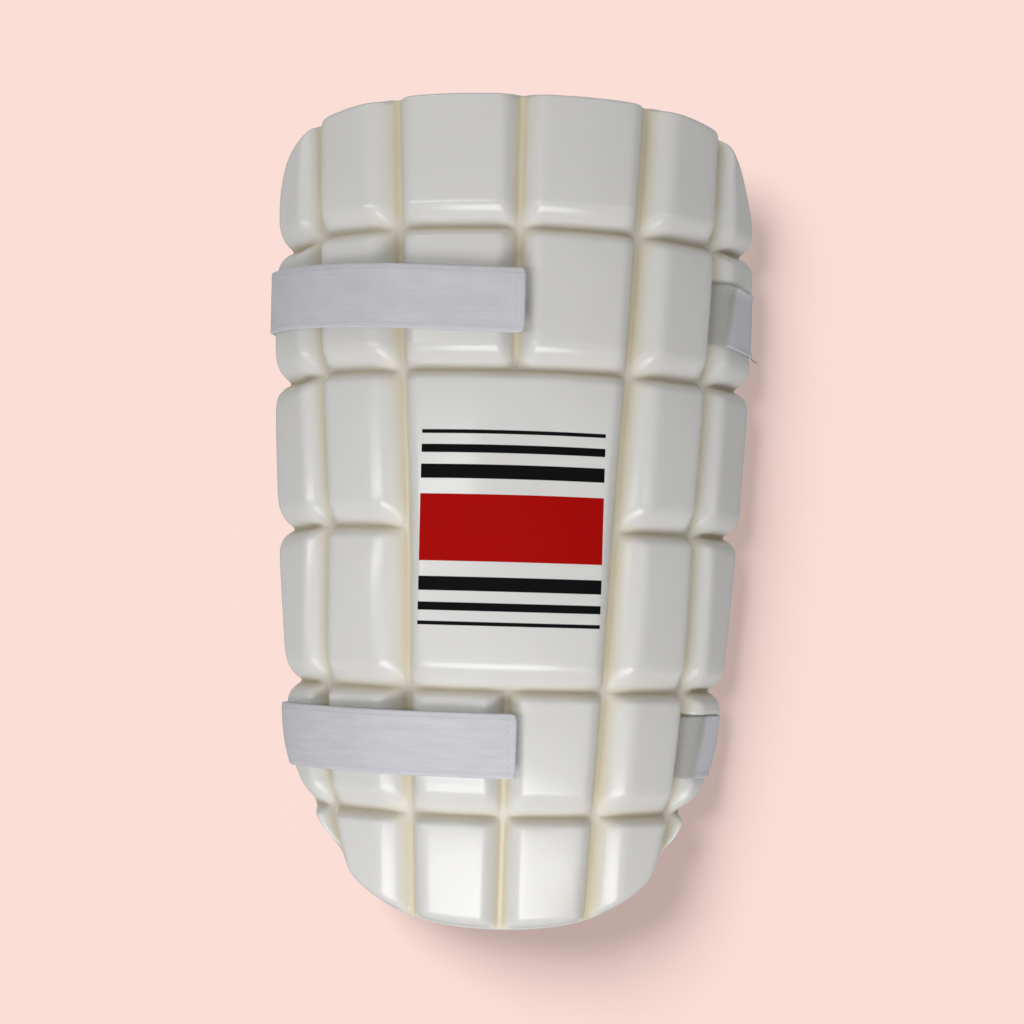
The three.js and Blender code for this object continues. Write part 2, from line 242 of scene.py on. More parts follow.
def rise(way, width, power, foot=1):
    """Rise from 0 to 1 over a width, level at its top: 1 - (1 - t ** foot) ** power, with t the way as a
    share of the width. A foot over 1 rounds the bottom too."""
    return 1 - (1 - np.clip(way / width, 0, 1) ** foot) ** power


def rim_at(place):
    """Points of the rim at fractional places in WHOLE_RIM, on a closed centripetal Catmull-Rom curve: between
    two of its points it is the cubic with their places and tangents."""
    first = np.floor(place).astype(int)
    t = (place - first)[..., None]
    p0, p1, p2, p3 = (WHOLE_RIM[(first + step) % len(WHOLE_RIM)] for step in (-1, 0, 1, 2))
    d0, d1, d2 = (
        np.sqrt(np.linalg.norm(b - a, axis=-1, keepdims=True)) for a, b in ((p0, p1), (p1, p2), (p2, p3))
    )
    leave = d1 * ((p1 - p0) / d0 - (p2 - p0) / (d0 + d1)) + p2 - p1
    arrive = d1 * ((p3 - p2) / d2 - (p3 - p1) / (d1 + d2)) + p2 - p1
    bend = 3 * (p2 - p1) - 2 * leave - arrive
    twist = 2 * (p1 - p2) + leave + arrive
    return p1 + t * (leave + t * (bend + t * twist))


def rim_line(place, out=-RIM_BEAD):
    """Points of the rim moved out along its normal, by default to the front's border, and drawn in where a
    groove meets the hip edge."""
    place = np.asarray(place, float)
    step = 0.01
    points = rim_at(place)
    along = rim_at(place + step) - rim_at(place - step)
    normal = np.stack([-along[..., 1], along[..., 0]], axis=-1)
    normal /= np.linalg.norm(normal, axis=-1, keepdims=True)
    sides = groove_distances(points)[0]
    draw = HIP_SCALLOP * bell(sides / SCALLOP_REACH) * (points[..., 1] > HIP_ZONE[1])
    return points + normal * (out - draw)[..., None]


def groove_half(column, y):
    """Half width to a groove along the guard, straight between the lines across it."""
    s_at, y_at = LINES[::-1, column].T
    return np.interp(y, y_at, s_at)


def rim_half(y):
    """Half width to the rim at a place along the guard."""
    return np.interp(-y, -CAD_RIM[:, 1], CAD_RIM[:, 0])


def by_grooves(points):
    """Half width and y of places, as the grooves have them: those along the guard bow in at mid length, by a
    bell curve, and on the left those across it drop towards the rim, more towards the hip."""
    s, y = points[..., 0], points[..., 1]
    bow = by_side(s, GROOVE_BOW) * bell(y / BOW_REACH)
    drop = GROOVE_DROP * np.maximum(y - DROP_FROM, 0) * ramp(-s, DROP_ZONE)
    return np.abs(s) * (1 + bow), y + drop


def groove_distances(points):
    """Distance to the nearest groove along the guard, and to the nearest one across it, negative below that
    one. The large panel has only the grooves round it."""
    half, y = by_grooves(points)
    inner = groove_half(INNER, y)
    grooves = LINES[1:-1, 0, 1]
    in_panel = (half < inner) & (y < LINES[PANEL_FROM, 0, 1]) & (y > LINES[PANEL_TO, 0, 1])
    sides = np.minimum(np.abs(half - inner), np.abs(half - groove_half(OUTER, y)))
    sides = np.where(in_panel, sides, np.minimum(sides, half))

    def nearest(lines):
        away = y[..., None] - lines
        return np.take_along_axis(away, np.abs(away).argmin(axis=-1)[..., None], axis=-1)[..., 0]

    return sides, np.where(in_panel, nearest(grooves[[PANEL_FROM - 1, PANEL_TO - 1]]), nearest(grooves))


RIM_LINE = rim_line(np.linspace(0, len(WHOLE_RIM), RIM_SAMPLES, endpoint=False))
CAD_RIM = rim_at(np.linspace(0, len(RIGHT_RIM) - 1, RIM_SAMPLES))


def rim_distance(points):
    """Distance of places from the rim: the least over its short chords."""
    nearest = np.full(points.shape[:-1], np.inf)
    for start, end in zip(RIM_LINE, np.roll(RIM_LINE, -1, axis=0)):
        chord = end - start
        away = points - start
        share = np.clip(away @ chord / (chord @ chord), 0, 1)
        nearest = np.minimum(nearest, np.linalg.norm(away - share[..., None] * chord, axis=-1))
    return nearest


def rim_rise(points, edge):
    """Rise of the blocks from the rim, over a shoulder that is tighter along the hip edge."""
    tight = ramp(points[..., 1], HIP_ZONE) * ramp(np.abs(points[..., 0]), HIP_SIDE_ZONE)
    return rise(edge, RIM_SHOULDER + (HIP_EDGE_SHOULDER - RIM_SHOULDER) * tight, SHOULDER_POWER)


def crown_height(points):
    """Height of the crowns alone, without grooves: a shoulder from the rim and a dome."""
    edge = rim_distance(points)
    return BLOCK_HEIGHT * rim_rise(points, edge) + BLOCK_DOME * rise(edge, DOME_REACH, 2)


def groove_rise(points):
    """Rise of a block from its grooves, from 0 to 1, and the height that its face gains along the guard and
    loses across it. The rise is the product of those from the nearest groove each way, which rounds the
    block's corners."""
    sides, ends = groove_distances(points)
    s = points[..., 0]
    half, y = by_grooves(points)
    inner, outer, rim = groove_half(INNER, y), groove_half(OUTER, y), rim_half(y)
    inward = (half > inner) & (half < (inner + outer) / 2)
    side_width = np.where(inward, INWARD_SHOULDER, OUTWARD_SHOULDER)
    outer_width = np.clip(OUTER_SHARE * (rim - outer), LEAST_OUTER_SHOULDER, OUTER_SHOULDER)
    side_width = np.where(half > outer, outer_width, side_width)
    floor_half = np.where(half > (inner + outer) / 2, OUTER_GROOVE_HALF, SIDE_GROOVE_HALF)
    end_width = np.where(ends > 0, KNEE_SHOULDER, HIP_SHOULDER)
    rim_width = np.where(ends > 0, by_side(s, OUTER_KNEE_SHOULDER), by_side(s, OUTER_HIP_SHOULDER))
    end_width = end_width + (rim_width - end_width) * smooth((half - outer) / OUTER_WIDTH_FADE)
    shoulder = rise(sides - floor_half, side_width, SHOULDER_POWER, SIDE_FOOT)
    outside = smooth((half - outer) / OUTER_FADE)
    foot = END_FOOT + (1 - END_FOOT) * outside
    end_floor = END_FLOOR * (1 - outside)
    end_rise = rise(np.abs(ends) - END_GROOVE_HALF, end_width, SHOULDER_POWER, foot)
    end_rise = end_rise ** (1 - OUTER_BULGE * outside)
    shoulder *= end_floor + (1 - end_floor) * end_rise
    return shoulder, BLOCK_DOME * rise(np.abs(ends), DOME_REACH, 2) - FACE_FLAT * rise(sides, DOME_REACH, 2)


def crease_height(points):
    """Height over the grooves' floors, which sets the cream tint of painted shade: counted larger above a
    groove across the guard and smaller below it, so that the painted shade sits low, where the shade falls,
    and larger where two grooves cross."""
    sides, ends = groove_distances(points)
    skew = np.where(ends > 0, CREAM_ABOVE, CREAM_BELOW) - 1
    node = bell(np.hypot(sides, ends) / NODE_REACH)
    height = (BLOCK_HEIGHT + CREASE_DEPTH) * groove_rise(points)[0]
    return height * (1 + skew * bell(ends / CREAM_REACH)) + NODE_CLEAR * node


def crease_shade_and_soil(points):
    """Painted shade with some soil at a place: a band under each groove across the guard, where the shade
    falls, and thin lines along both sides of the floor of each groove along it."""
    sides, ends = groove_distances(points)
    band = bell((ends + SHADE_BELOW) / SHADE_HALF) * (1 - bell(sides / SHADE_CLEAR))
    lines = bell((sides - SIDE_GROOVE_HALF) / SHADE_LINE_HALF) * smooth(np.abs(ends) / SHADE_LINE_CLEAR)
    return np.maximum(band, SHADE_LINES * lines)


def strap_press(points):
    """How far the straps press the foam down outside the right outer groove: fully under a strap, and less
    beside it, by a smooth step."""
    s, y = points[..., 0], points[..., 1]
    off = [np.abs(y - strap["y"] - strap["drift"][-2]) - STRAP_WIDTH / 2 for strap in STRAPS.values()]
    under = smooth(0.5 - np.min(off, axis=0) / PRESS_EDGE)
    return PRESS * under * smooth((s - groove_half(OUTER, y)) / PRESS_FADE)


def under_tape(points):
    """1 under a hook tape, falling to 0 round it by a smooth step."""
    s, y = points[..., 0], points[..., 1]
    low, high = HOOK_TAPE_SPAN
    beside = np.abs(s - (low + high) / 2) - (high - low) / 2
    off = np.min([np.abs(y - strap["y"]) for strap in STRAPS.values()], axis=0) - HOOK_TAPE_WIDTH / 2
    return smooth(1 - beside / TAPE_EDGE) * smooth(1 - off / TAPE_EDGE)


def block_height(points):
    """Height of the blocks over the web: their rises from the grooves and the rim, less what the straps press
    down. Faces are full under the hook tapes. The grooves cut a little into the web, except near the rim, and
    slow waves leave the faces uneven."""
    edge = rim_distance(points)
    shoulder, face = groove_rise(points)
    crease = CREASE_DEPTH * rise(edge, CREASE_FADE, 2)
    s, y = points[..., 0], points[..., 1]
    waves = sum(share * np.sin(s / a + y / b + start) for share, a, b, start in WAVES)
    face = face + FACE_FLAT * under_tape(points)
    height = BLOCK_HEIGHT + crease + face * rise(edge, DOME_REACH, 2) + UNEVEN * waves - strap_press(points)
    return (height * shoulder - crease) * rim_rise(points, edge)


def web_thickness(points):
    """Thickness of the web behind the blocks, thinning to the rim by the square of the way out."""
    thin = 1 - np.clip(rim_distance(points) / RIM_ROLL, 0, 1)
    return WEB_THICKNESS + (RIM_THICKNESS - WEB_THICKNESS) * thin**2


def place(points, h):
    """Places on the shell in space: an arc round the web's axis, whose radius tapers and whose crown line
    bows. The right corner of the hip edge is drawn in, and so is the rim where a groove across the guard
    meets it. The left knee corner stands out instead."""
    near_corner = np.exp(-np.sum((points - CORNER_AT) ** 2, axis=-1) / CORNER_REACH**2)
    s, y = np.moveaxis(points - CORNER_DRAW * near_corner[..., None], -1, 0)
    flat_s, flat_y = points[..., 0], points[..., 1]
    outer, rim = groove_half(OUTER, flat_y), rim_half(flat_y)
    outside = smooth((np.abs(flat_s) - outer) / np.maximum(rim - outer, LEAST_OUTER_BLOCK))
    notch = np.exp(-np.abs(groove_distances(points)[1]) / NOTCH_REACH)
    wider = KNEE_WIDER * bell((flat_y - KNEE_WIDER_AT) / KNEE_WIDER_REACH)
    left = RIM_NOTCH["left"] * notch * ramp(flat_y, NOTCH_ZONE) - wider
    s = s - outside * np.where(s < 0, -left, RIM_NOTCH["right"] * notch)
    radius = WEB_RADIUS + RADIUS_TAPER * y
    crown = CROWN_SLOPE * y - CROWN_BOW * (y / HALF_LENGTH) ** 2
    turn = s / radius
    return np.stack([(radius + h) * np.sin(turn), y, crown - radius + (radius + h) * np.cos(turn)], axis=-1)


def cell_lines(widths, start, floor_half, shoulder_width):
    """Grid lines through cells of these widths, close together over each groove floor and shoulder."""
    floor = np.linspace(0, floor_half, FLOOR_STEPS, endpoint=False)
    shares = np.linspace(0, 1, SHOULDER_STEPS, endpoint=False) ** SHOULDER_CROWD
    shoulder = floor_half + shoulder_width * shares
    near = np.concatenate([floor, shoulder])
    lines = []
    edge = floor_half + shoulder_width
    for cell, width in enumerate(widths):
        face = np.linspace(edge, width - edge, FACE_STEPS + 1)
        lines.append(start + cell + np.concatenate([near, face, width - near[:0:-1]]) / width)
    return np.concatenate([*lines, [start + len(widths)]])


def hat(x, count):
    """Weights of whole numbers 0 to count - 1 at each x: 1 at the number, falling to 0 at its neighbours."""
    return np.maximum(0, 1 - np.abs(x[:, None] - np.arange(count)))


def border_places(columns, lines):
    """Places in the rim of the grid's border: of its columns at the hip and at the knee, and of its lines."""
    half, numbers = np.abs(columns), np.arange(COLUMN_COUNT)
    hip, knee = (np.interp(half, numbers, places) for places in (HIP_PLACES, KNEE_PLACES))
    return hip, knee, np.interp(lines, np.arange(LINE_COUNT), SIDE_PLACES)


def shell_grid(columns, lines):
    """Places of the shell's grid: bilinear between LINES, plus the way from each border's chords to the rim's
    curve, which fades out over the cells along that border."""
    corners = LINES.copy()
    corners[0] = rim_line(HIP_PLACES)
    corners[-1] = rim_line(KNEE_PLACES)
    corners[:, EDGE] = rim_line(SIDE_PLACES)
    by_column, by_line = hat(np.abs(columns), COLUMN_COUNT), hat(lines, LINE_COUNT)
    points = np.einsum("li,ijk,cj->lck", by_line, corners, by_column)
    hip, knee, side = border_places(columns, lines)
    for line, places in ((0, hip), (-1, knee)):
        bulge = rim_line(places) - by_column @ corners[line]
        points += by_line[:, line][:, None, None] * bulge
    bulge = rim_line(side) - by_line @ corners[:, EDGE]
    points += by_column[:, EDGE][:, None] * bulge[:, None]
    points[..., 0] *= np.sign(columns)
    return points


def border(grid):
    """The border of a grid in order, along its first row and once round."""
    return np.concatenate([grid[0, :-1], grid[:-1, -1], grid[-1, :0:-1], grid[:0:-1, 0]])


def rim_bead(columns, lines):
    """Rows of the half-round edge between front and back: each point of the border swung out and back round
    the middle of the rim's thickness."""
    hip, knee, side = border_places(columns, lines)
    places = np.concatenate([hip[:-1], side[:-1], knee[:0:-1], side[:0:-1]])
    hands = np.sign(columns)
    ones = np.ones(len(lines) - 1)
    hand = np.concatenate([hands[:-1], ones, hands[:0:-1], -ones])
    rows = []
    for angle in np.linspace(0, math.pi, BEAD_STEPS + 1)[1:-1]:
        points = rim_line(places, RIM_BEAD * (math.sin(angle) - 1))
        points[:, 0] *= hand
        rows.append((points, RIM_THICKNESS / 2 * (math.cos(angle) - 1)))
    return rows


def quads(index):
    """Faces between neighbouring entries of a grid of vertex numbers."""
    return np.stack([index[:-1, :-1], index[1:, :-1], index[1:, 1:], index[:-1, 1:]], axis=-1).reshape(-1, 4)


def add_object(name, data):
    """A new object in the scene, at its origin."""
    added = bpy.data.objects.new(name, data)
    bpy.context.scene.collection.objects.link(added)
    return added


def make_piece(name, points, faces, finish, values):
    """A smooth mesh object that rides with the guard. values give each vertex its place on the flattened
    piece and the like, which its finish reads."""
    mesh = bpy.data.meshes.new(name)
    mesh.from_pydata((points * MM).tolist(), [], faces)
    mesh.shade_smooth()
    for value_name, value in values.items():
        kind, field = ("FLOAT_VECTOR", "vector") if value.ndim > 1 else ("FLOAT", "value")
        attribute = mesh.attributes.new(value_name, kind, "POINT")
        attribute.data.foreach_set(field, value.astype(np.float32).ravel())
    mesh.materials.append(finish)
    piece = add_object(name, mesh)
    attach(piece, "root")
    return piece


def closed_loft(rings):
    """Faces of rings of equal count, each closed on itself, with a flat cap at both ends."""
    stations, count = rings.shape[:2]
    index = np.arange(stations * count).reshape(stations, count)
    around = np.column_stack([index, index[:, 0]])
    return quads(around).tolist() + [index[0].tolist(), index[-1, ::-1].tolist()]


# Straps


def strap_section(y, tab_end):
    """What a taut strap wraps in the section at y, as points [x, z]: on the left the crowns from its tab end
    on, on the right the outer block, on both sides the rim, and the anchor where it is sewn down."""
    rim = rim_half(y)
    groove = groove_half(OUTER, y)

    def flat(s):
        return np.stack([s, np.full_like(s, y)], axis=-1)

    def section(s, h):
        return place(flat(s), h)[:, ::2]

    left = np.linspace(tab_end, -rim, SECTION_SAMPLES)
    right = np.linspace(groove + OUTER_GROOVE_HALF, rim, SECTION_SAMPLES)
    end = np.array([rim])
    return (
        np.concatenate([section(left, crown_height(flat(left))), section(-end, -RIM_THICKNESS)]),
        np.concatenate([section(right, block_height(flat(right))), section(end, -RIM_THICKNESS)]),
        section(np.array([groove + ANCHOR_BESIDE]), ANCHOR_ABOVE),
    )


FLOOR = min(
    place(np.array([rim_half(y), y]), -RIM_THICKNESS)[2]
    for strap in STRAPS.values()
    for y in strap["y"] + STRAP_WIDTH * np.linspace(-0.5, 0.5, FLOOR_LINES)
) - GAP - STRAP_THICKNESS
SET_DOWN = np.array([0, 0, -FLOOR])  # lifts the shell's frame so that the straps lie on the floor


def strap_line(y, tab_end):
    """One line along a strap at even shares of its length: points of its inner face, the directions out
    there, and its length. A wrapped station is the point of the section that lies farthest out in a
    direction, moved out by the clearance. A straight run joins the stations where the strap lies flat."""
    left, right, anchor = strap_section(y, tab_end)
    radius = WEB_RADIUS + RADIUS_TAPER * y
    down = 1.5 * math.pi
    start = math.pi / 2 - tab_end / radius
    from_anchor = right - anchor
    end = np.arctan2(from_anchor[:, 1], from_anchor[:, 0]).max() + down + math.pi

    def wrap(points, angles):
        out = np.stack([np.cos(angles), np.sin(angles)], axis=-1)
        return points[(points @ out.T).argmax(axis=0)] + out * GAP, out

    left_angles = np.linspace(start, down, WRAP_STEPS)
    left_path, left_out = wrap(left, left_angles)
    way_round = (math.pi / 2 - left_angles) * radius
    lift = (HOOK_TAPE_THICKNESS + GAP) * ramp(way_round, LIFT_ZONE)
    left_path += left_out * lift[:, None]
    right_path, right_out = wrap(right, np.linspace(down, end, WRAP_STEPS))
    flat_half = FLAT_SHARE * right[-1, 0]
    flat_path = [(side * flat_half, FLOOR + STRAP_THICKNESS) for side in (-1, 1)]
    last_out = right_out[-1:]
    path = np.concatenate([left_path, flat_path, right_path, anchor + last_out * GAP])
    out = np.concatenate([left_out, [(0, -1), (0, -1)], right_out, last_out])
    along = np.concatenate([[0], np.cumsum(np.linalg.norm(np.diff(path, axis=0), axis=1))])
    at = np.linspace(0, along[-1], STRAP_SAMPLES)
    x, z, out_x, out_z = (np.interp(at, along, values) for values in (*path.T, *out.T))
    size = np.hypot(out_x, out_z)
    points = np.stack([x, np.full_like(x, y), z], axis=-1) + SET_DOWN
    return points, np.stack([out_x / size, np.zeros_like(x), out_z / size], axis=-1), along[-1]


def strap_surface(strap):
    """What a strap lies on: lines along it at even places across it and a little beyond, as their points,
    their directions out and their lengths, and the strap's drift."""
    lines = [strap_line(strap["y"] + over, strap["tab_end"]) for over in SURFACE_OVERS]
    return (*(np.stack(part) for part in zip(*lines)), strap["drift"])


def on_strap(surface, along, over, lift):
    """Points of a strap at a way along and across it, lifted out of its inner face, and the directions out
    there: bilinear between the surface's lines and stations, which the strap drifts over a little."""
    points, out, lengths, drift = surface
    share = along / np.interp(over, SURFACE_OVERS, lengths)
    fine = np.linspace(0, 1, DRIFT_SAMPLES)
    spans = np.clip(np.searchsorted(DRIFT_SHARES, fine, side="right") - 1, 0, len(drift) - 2)
    way = ramp(fine, (np.take(DRIFT_SHARES, spans), np.take(DRIFT_SHARES, spans + 1)))
    drifts = np.take(drift, spans) * (1 - way) + np.take(drift, spans + 1) * way
    first, second = SURFACE_OVERS[:2]
    row = (over + np.interp(share, fine, drifts) - first) / (second - first)
    station = share * (STRAP_SAMPLES - 1)
    i = np.clip(row.astype(int), 0, STRAP_LINES - 2)
    j = np.clip(station.astype(int), 0, STRAP_SAMPLES - 2)
    u, v = (row - i)[..., None], (station - j)[..., None]
    points, out = (
        (1 - u) * ((1 - v) * part[i, j] + v * part[i, j + 1])
        + u * ((1 - v) * part[i + 1, j] + v * part[i + 1, j + 1])
        for part in (points, out)
    )
    return points + out * lift[..., None], out


def band_ring(width, thickness, count):
    """The section of a band with half-round edges: across and out of it, once round from its inner face."""
    radius = thickness / 2
    flat = np.linspace(-1, 1, count) * (width / 2 - radius)
    turn = np.linspace(-math.pi / 2, math.pi / 2, BAND_EDGE_STEPS + 1)[1:-1]
    edge = np.column_stack([width / 2 - radius + radius * np.cos(turn), radius + radius * np.sin(turn)])
    inner = np.column_stack([flat, np.zeros(count)])
    outer = np.column_stack([flat[::-1], np.full(count, thickness)])
    return np.concatenate([inner, edge, outer, (edge * (-1, 1))[::-1]])


def hem_rise(along):
    """Extra height of a tab end: it is folded back over its hem, pulled down along the stitches."""
    hem = (1 - np.tanh((along - TAB_HEM) / HEM_EDGE)) / 2
    pulled = bell((along - STITCH["from_end"]) / STITCH_PULL_REACH)
    return HEM_RISE * hem - STITCH_PULL * pulled


def strap_rings(surface):
    """Rings of a strap from its tab end to its anchor, each vertex with its place along and across the band
    and the band's length. The tab's corners are cut back on a radius, and its end is thinned half-round."""
    tab = np.linspace(0, TAB_SHARE, TAB_STATIONS, endpoint=False)
    shares = np.concatenate([tab, np.linspace(TAB_SHARE, 1, STRAP_STATIONS)])
    over, out_by = band_ring(STRAP_WIDTH, STRAP_THICKNESS, BAND_POINTS).T
    length = np.interp(over, SURFACE_OVERS, surface[2])
    past = np.maximum(np.abs(over) - (STRAP_WIDTH / 2 - TAB_CORNER), 0)
    cut = TAB_CORNER - np.sqrt(TAB_CORNER**2 - past**2)
    along = cut + (length - cut) * shares[:, None]
    middle = STRAP_THICKNESS / 2
    from_end = np.clip((along - cut) / middle, 0, 1)
    thin = np.sqrt(np.maximum(1 - (1 - from_end) ** 2, TAB_TIP))
    lift = middle + (out_by - middle) * thin + hem_rise(along) * out_by / STRAP_THICKNESS
    over, length = np.broadcast_arrays(over, length, along)[:2]
    points, _ = on_strap(surface, along, over, lift)
    return points, np.stack([along, over, length], axis=-1)


def tubes(paths, normals, radius):
    """Rings of round threads along paths: at each point a circle across the path, tapered at both ends."""
    along = np.gradient(paths, axis=1)
    along /= np.linalg.norm(along, axis=-1, keepdims=True)
    side = np.cross(along, normals)
    side /= np.linalg.norm(side, axis=-1, keepdims=True)
    up = np.cross(side, along)
    t = np.linspace(-1, 1, paths.shape[1])
    size = radius * np.sqrt(np.clip(1 - t**THREAD_BLUNT, THREAD_TIP, 1))[:, None, None]
    angles = np.linspace(0, 2 * math.pi, THREAD_SIDES, endpoint=False)[:, None]
    circle = np.cos(angles) * side[:, :, None] + np.sin(angles) * up[:, :, None]
    return paths[:, :, None] + size * circle


def make_threads(name, paths, normals, radius, finish):
    """Separate threads as one piece, each a closed loft."""
    rings = tubes(paths, normals, radius)
    count, stations, sides = rings.shape[:3]
    one = closed_loft(rings[0])
    faces = [[corner + k * stations * sides for corner in face] for k in range(count) for face in one]
    return make_piece(name, rings.reshape(-1, 3), faces, finish, {})


def stitch_paths(surface):
    """Slanted stitches in a row across a tab end, each bowed over the elastic."""
    reach = STRAP_WIDTH / 2 - TAB_CORNER
    middles = np.arange(-reach, reach, STITCH["pitch"])[:, None]
    share = np.linspace(0, 1, THREAD_STATIONS)
    over = middles + STITCH["length"] * (share - 0.5)
    along = STITCH["from_end"] + STITCH["slant"] * (share - 0.5) + 0 * over
    bow = STITCH_BOW * np.sin(math.pi * share) - STITCH_SUNK
    return on_strap(surface, along, over, STRAP_THICKNESS + hem_rise(along) + bow)


def loose_path(surface):
    """A loose end of thread, from the outermost place of the strap's knee-side edge, bowed to the knee."""
    along = np.linspace(0.5, 1, EDGE_SAMPLES) * surface[2].mean()
    over = np.full_like(along, -STRAP_WIDTH / 2)
    edge, out = on_strap(surface, along, over, np.full_like(along, STRAP_THICKNESS / 2))
    farthest = edge[:, 0].argmax()
    share = np.linspace(0, 1, THREAD_STATIONS)
    step = np.stack([share**2, share, share], axis=-1) * LOOSE_THREAD["way"] * LOOSE_THREAD["length"]
    return (edge[farthest] + step)[None], np.broadcast_to(out[farthest], (1, THREAD_STATIONS, 3))


# Finishes


def adds(operation):
    """A method of Wire that adds one Math node."""
    return lambda self, *others: self.finish.maths(operation, self, *others)


class Wire:
    """One output of a finish's nodes. Arithmetic on wires and numbers adds Math nodes."""

    __add__ = __radd__ = adds("ADD")
    __sub__ = adds("SUBTRACT")
    __mul__ = __rmul__ = adds("MULTIPLY")
    __truediv__ = adds("DIVIDE")
    __abs__ = adds("ABSOLUTE")

    def __init__(self, finish, socket):
        self.finish = finish
        self.socket = socket

    def __rsub__(self, other):
        return self.finish.maths("SUBTRACT", other, self)

    def clamped(self):
        """The value kept between 0 and 1."""
        return self.finish.node("Clamp", {}, {"Value": self})


class Finish:
    """The nodes of a material or of the room's light, and the one way that they are made."""

    def __init__(self, owner, shader="Principled BSDF"):
        owner.use_nodes = True
        self.material = owner
        self.nodes = owner.node_tree.nodes
        self.links = owner.node_tree.links
        self.shader = self.nodes[shader]

    def set(self, inputs, node=None):
        """Sets or links the sockets of a node, by default the shader."""
        for name, value in inputs.items():
            socket = (node or self.shader).inputs[name]
            if isinstance(value, Wire):
                self.links.new(value.socket, socket)
            else:
                socket.default_value = value

    def node(self, kind, settings, inputs, output=0):
        """A node, with its settings made before its sockets, as a wire from one output."""
        made = self.nodes.new("ShaderNode" + kind)
        for name, value in settings.items():
            setattr(made, name, value)
        self.set(inputs, made)
        return Wire(self, made.outputs[output])

    def maths(self, operation, *values):
        return self.node("Math", {"operation": operation}, dict(enumerate(values)))

    def mix(self, share, first, second):
        """A colour between two, by a share."""
        return self.node("Mix", {"data_type": "RGBA"}, {0: share, 6: first, 7: second}, 2)

    def position(self):
        """The place on the piece as it stands."""
        return self.node("TexCoord", {}, {}, "Object")

    def value(self, name, output="Fac"):
        """One of the values that the piece's vertices have."""
        return self.node("Attribute", {"attribute_name": name}, {}, output)

    def flat_place(self):
        """The place on the piece's flattened form, as three wires."""
        return self.split(self.value("flat_place", "Vector"))

    def split(self, vector):
        """The three values of a vector."""
        parts = self.node("SeparateXYZ", {}, {0: vector}).socket.node.outputs
        return [Wire(self, part) for part in parts]

    def noise(self, vector, scale, detail=2.0):
        """Smooth noise from 0 to 1 with features of about 1 / scale."""
        return self.node("TexNoise", {}, {"Vector": vector, "Scale": scale, "Detail": detail})

    def wave(self, way, pitch):
        """A sine from -1 to 1 that repeats after a pitch."""
        return self.maths("SINE", way * (2 * math.pi / pitch))

    def vector(self, x, y, z=0.0):
        return self.node("CombineXYZ", {}, {0: x, 1: y, 2: z})

    def bump(self, height, strength, distance):
        return self.node("Bump", {}, {"Height": height, "Strength": strength, "Distance": distance})


def edge_mask(distance, soft):
    """1 where a signed distance is over 0, falling to 0 over a soft width."""
    return (distance / soft + 0.5).clamped()


IVORY = (0.70, 0.697, 0.68, 1)
# the cream and the olive are painted shade in the grooves, the olive with some soil
CREAM_SHADE = (0.71, 0.645, 0.48, 1)
SHADE_AND_SOIL_OLIVE = (0.40, 0.34, 0.20, 1)
YELLOWED = (0.66, 0.63, 0.53, 1)
PRINT_RED = (0.40, 0.002, 0.001, 1)
PRINT_BLACK = (0.004, 0.004, 0.005, 1)
PRINT_HALF_WIDTH = 34
PRINT_EDGE = 0.15  # softness of the print's edges
PRINT_MIDDLE = (LINES[PANEL_FROM, 0, 1] + LINES[PANEL_TO, 0, 1]) / 2
RED_STRIPE_HALF = 13
BLACK_STRIPES = [(19, 24.5), (29, 32.2), (36.4, 37.9)]  # from and to, above and below the red stripe's middle
FILM = {"least": 0.3, "steep": 2.6, "start": 0.92}  # the clear film's weight by the rise from the grooves
PATCH_SCALE = 18.0
GRAIN_SCALE = 1500.0


def foam_skin():
    """Satin ivory skin of the moulded foam, under a clear film: painted shade in the grooves, as a cream tint
    and an olive band with some soil, yellowed in patches, with matt stripes printed across the large panel."""
    finish = Finish(bpy.data.materials.new("foam_skin"))
    s, y, h = finish.flat_place()
    position = finish.position()
    patches = finish.noise(position, PATCH_SCALE, 3.0)
    grain = finish.noise(position, GRAIN_SCALE)
    depth = (1 - h / CREAM_HEIGHT).clamped()
    shade_and_soil = finish.value("shade_and_soil")
    risen = finish.value("risen")
    skin = finish.mix(((patches - 0.42) * 1.6).clamped() * 0.35, IVORY, YELLOWED)
    # painted shade: the cream tint low in the grooves, and the olive band with some soil under the grooves
    # across the guard
    skin = finish.mix(depth * (0.7 + patches * 0.4), skin, CREAM_SHADE)
    skin = finish.mix(shade_and_soil * (0.08 + patches * 0.36), skin, SHADE_AND_SOIL_OLIVE)

    from_middle = abs(y - PRINT_MIDDLE)
    inside = edge_mask(PRINT_HALF_WIDTH - abs(s), PRINT_EDGE)
    red = inside * edge_mask(RED_STRIPE_HALF - from_middle, PRINT_EDGE)
    black = 0
    for low, high in BLACK_STRIPES:
        black = black + edge_mask(from_middle - low, PRINT_EDGE) * edge_mask(high - from_middle, PRINT_EDGE)
    black = inside * black
    skin = finish.mix(red, skin, PRINT_RED)
    skin = finish.mix(black, skin, PRINT_BLACK)

    printed = (red + black).clamped()
    rough = 0.42 + patches * 0.06 + grain * 0.05 + depth * 0.2 + printed * 0.25
    full = (risen * FILM["steep"] - FILM["start"]).clamped()
    film = (1 - printed) * (FILM["least"] + (1 - FILM["least"]) * full)
    finish.set({
        "Base Color": skin,
        "Roughness": rough,
        "Normal": finish.bump(grain, 0.12, 0.0001),
        "Specular IOR Level": 0.06,
        "Subsurface Weight": 0.35,
        "Subsurface Radius": (1.0, 0.9, 0.7),
        "Subsurface Scale": 0.003,
        "Coat Weight": film,
        "Coat Roughness": 0.22,
        "Coat IOR": 1.55,
    })
    return finish.material


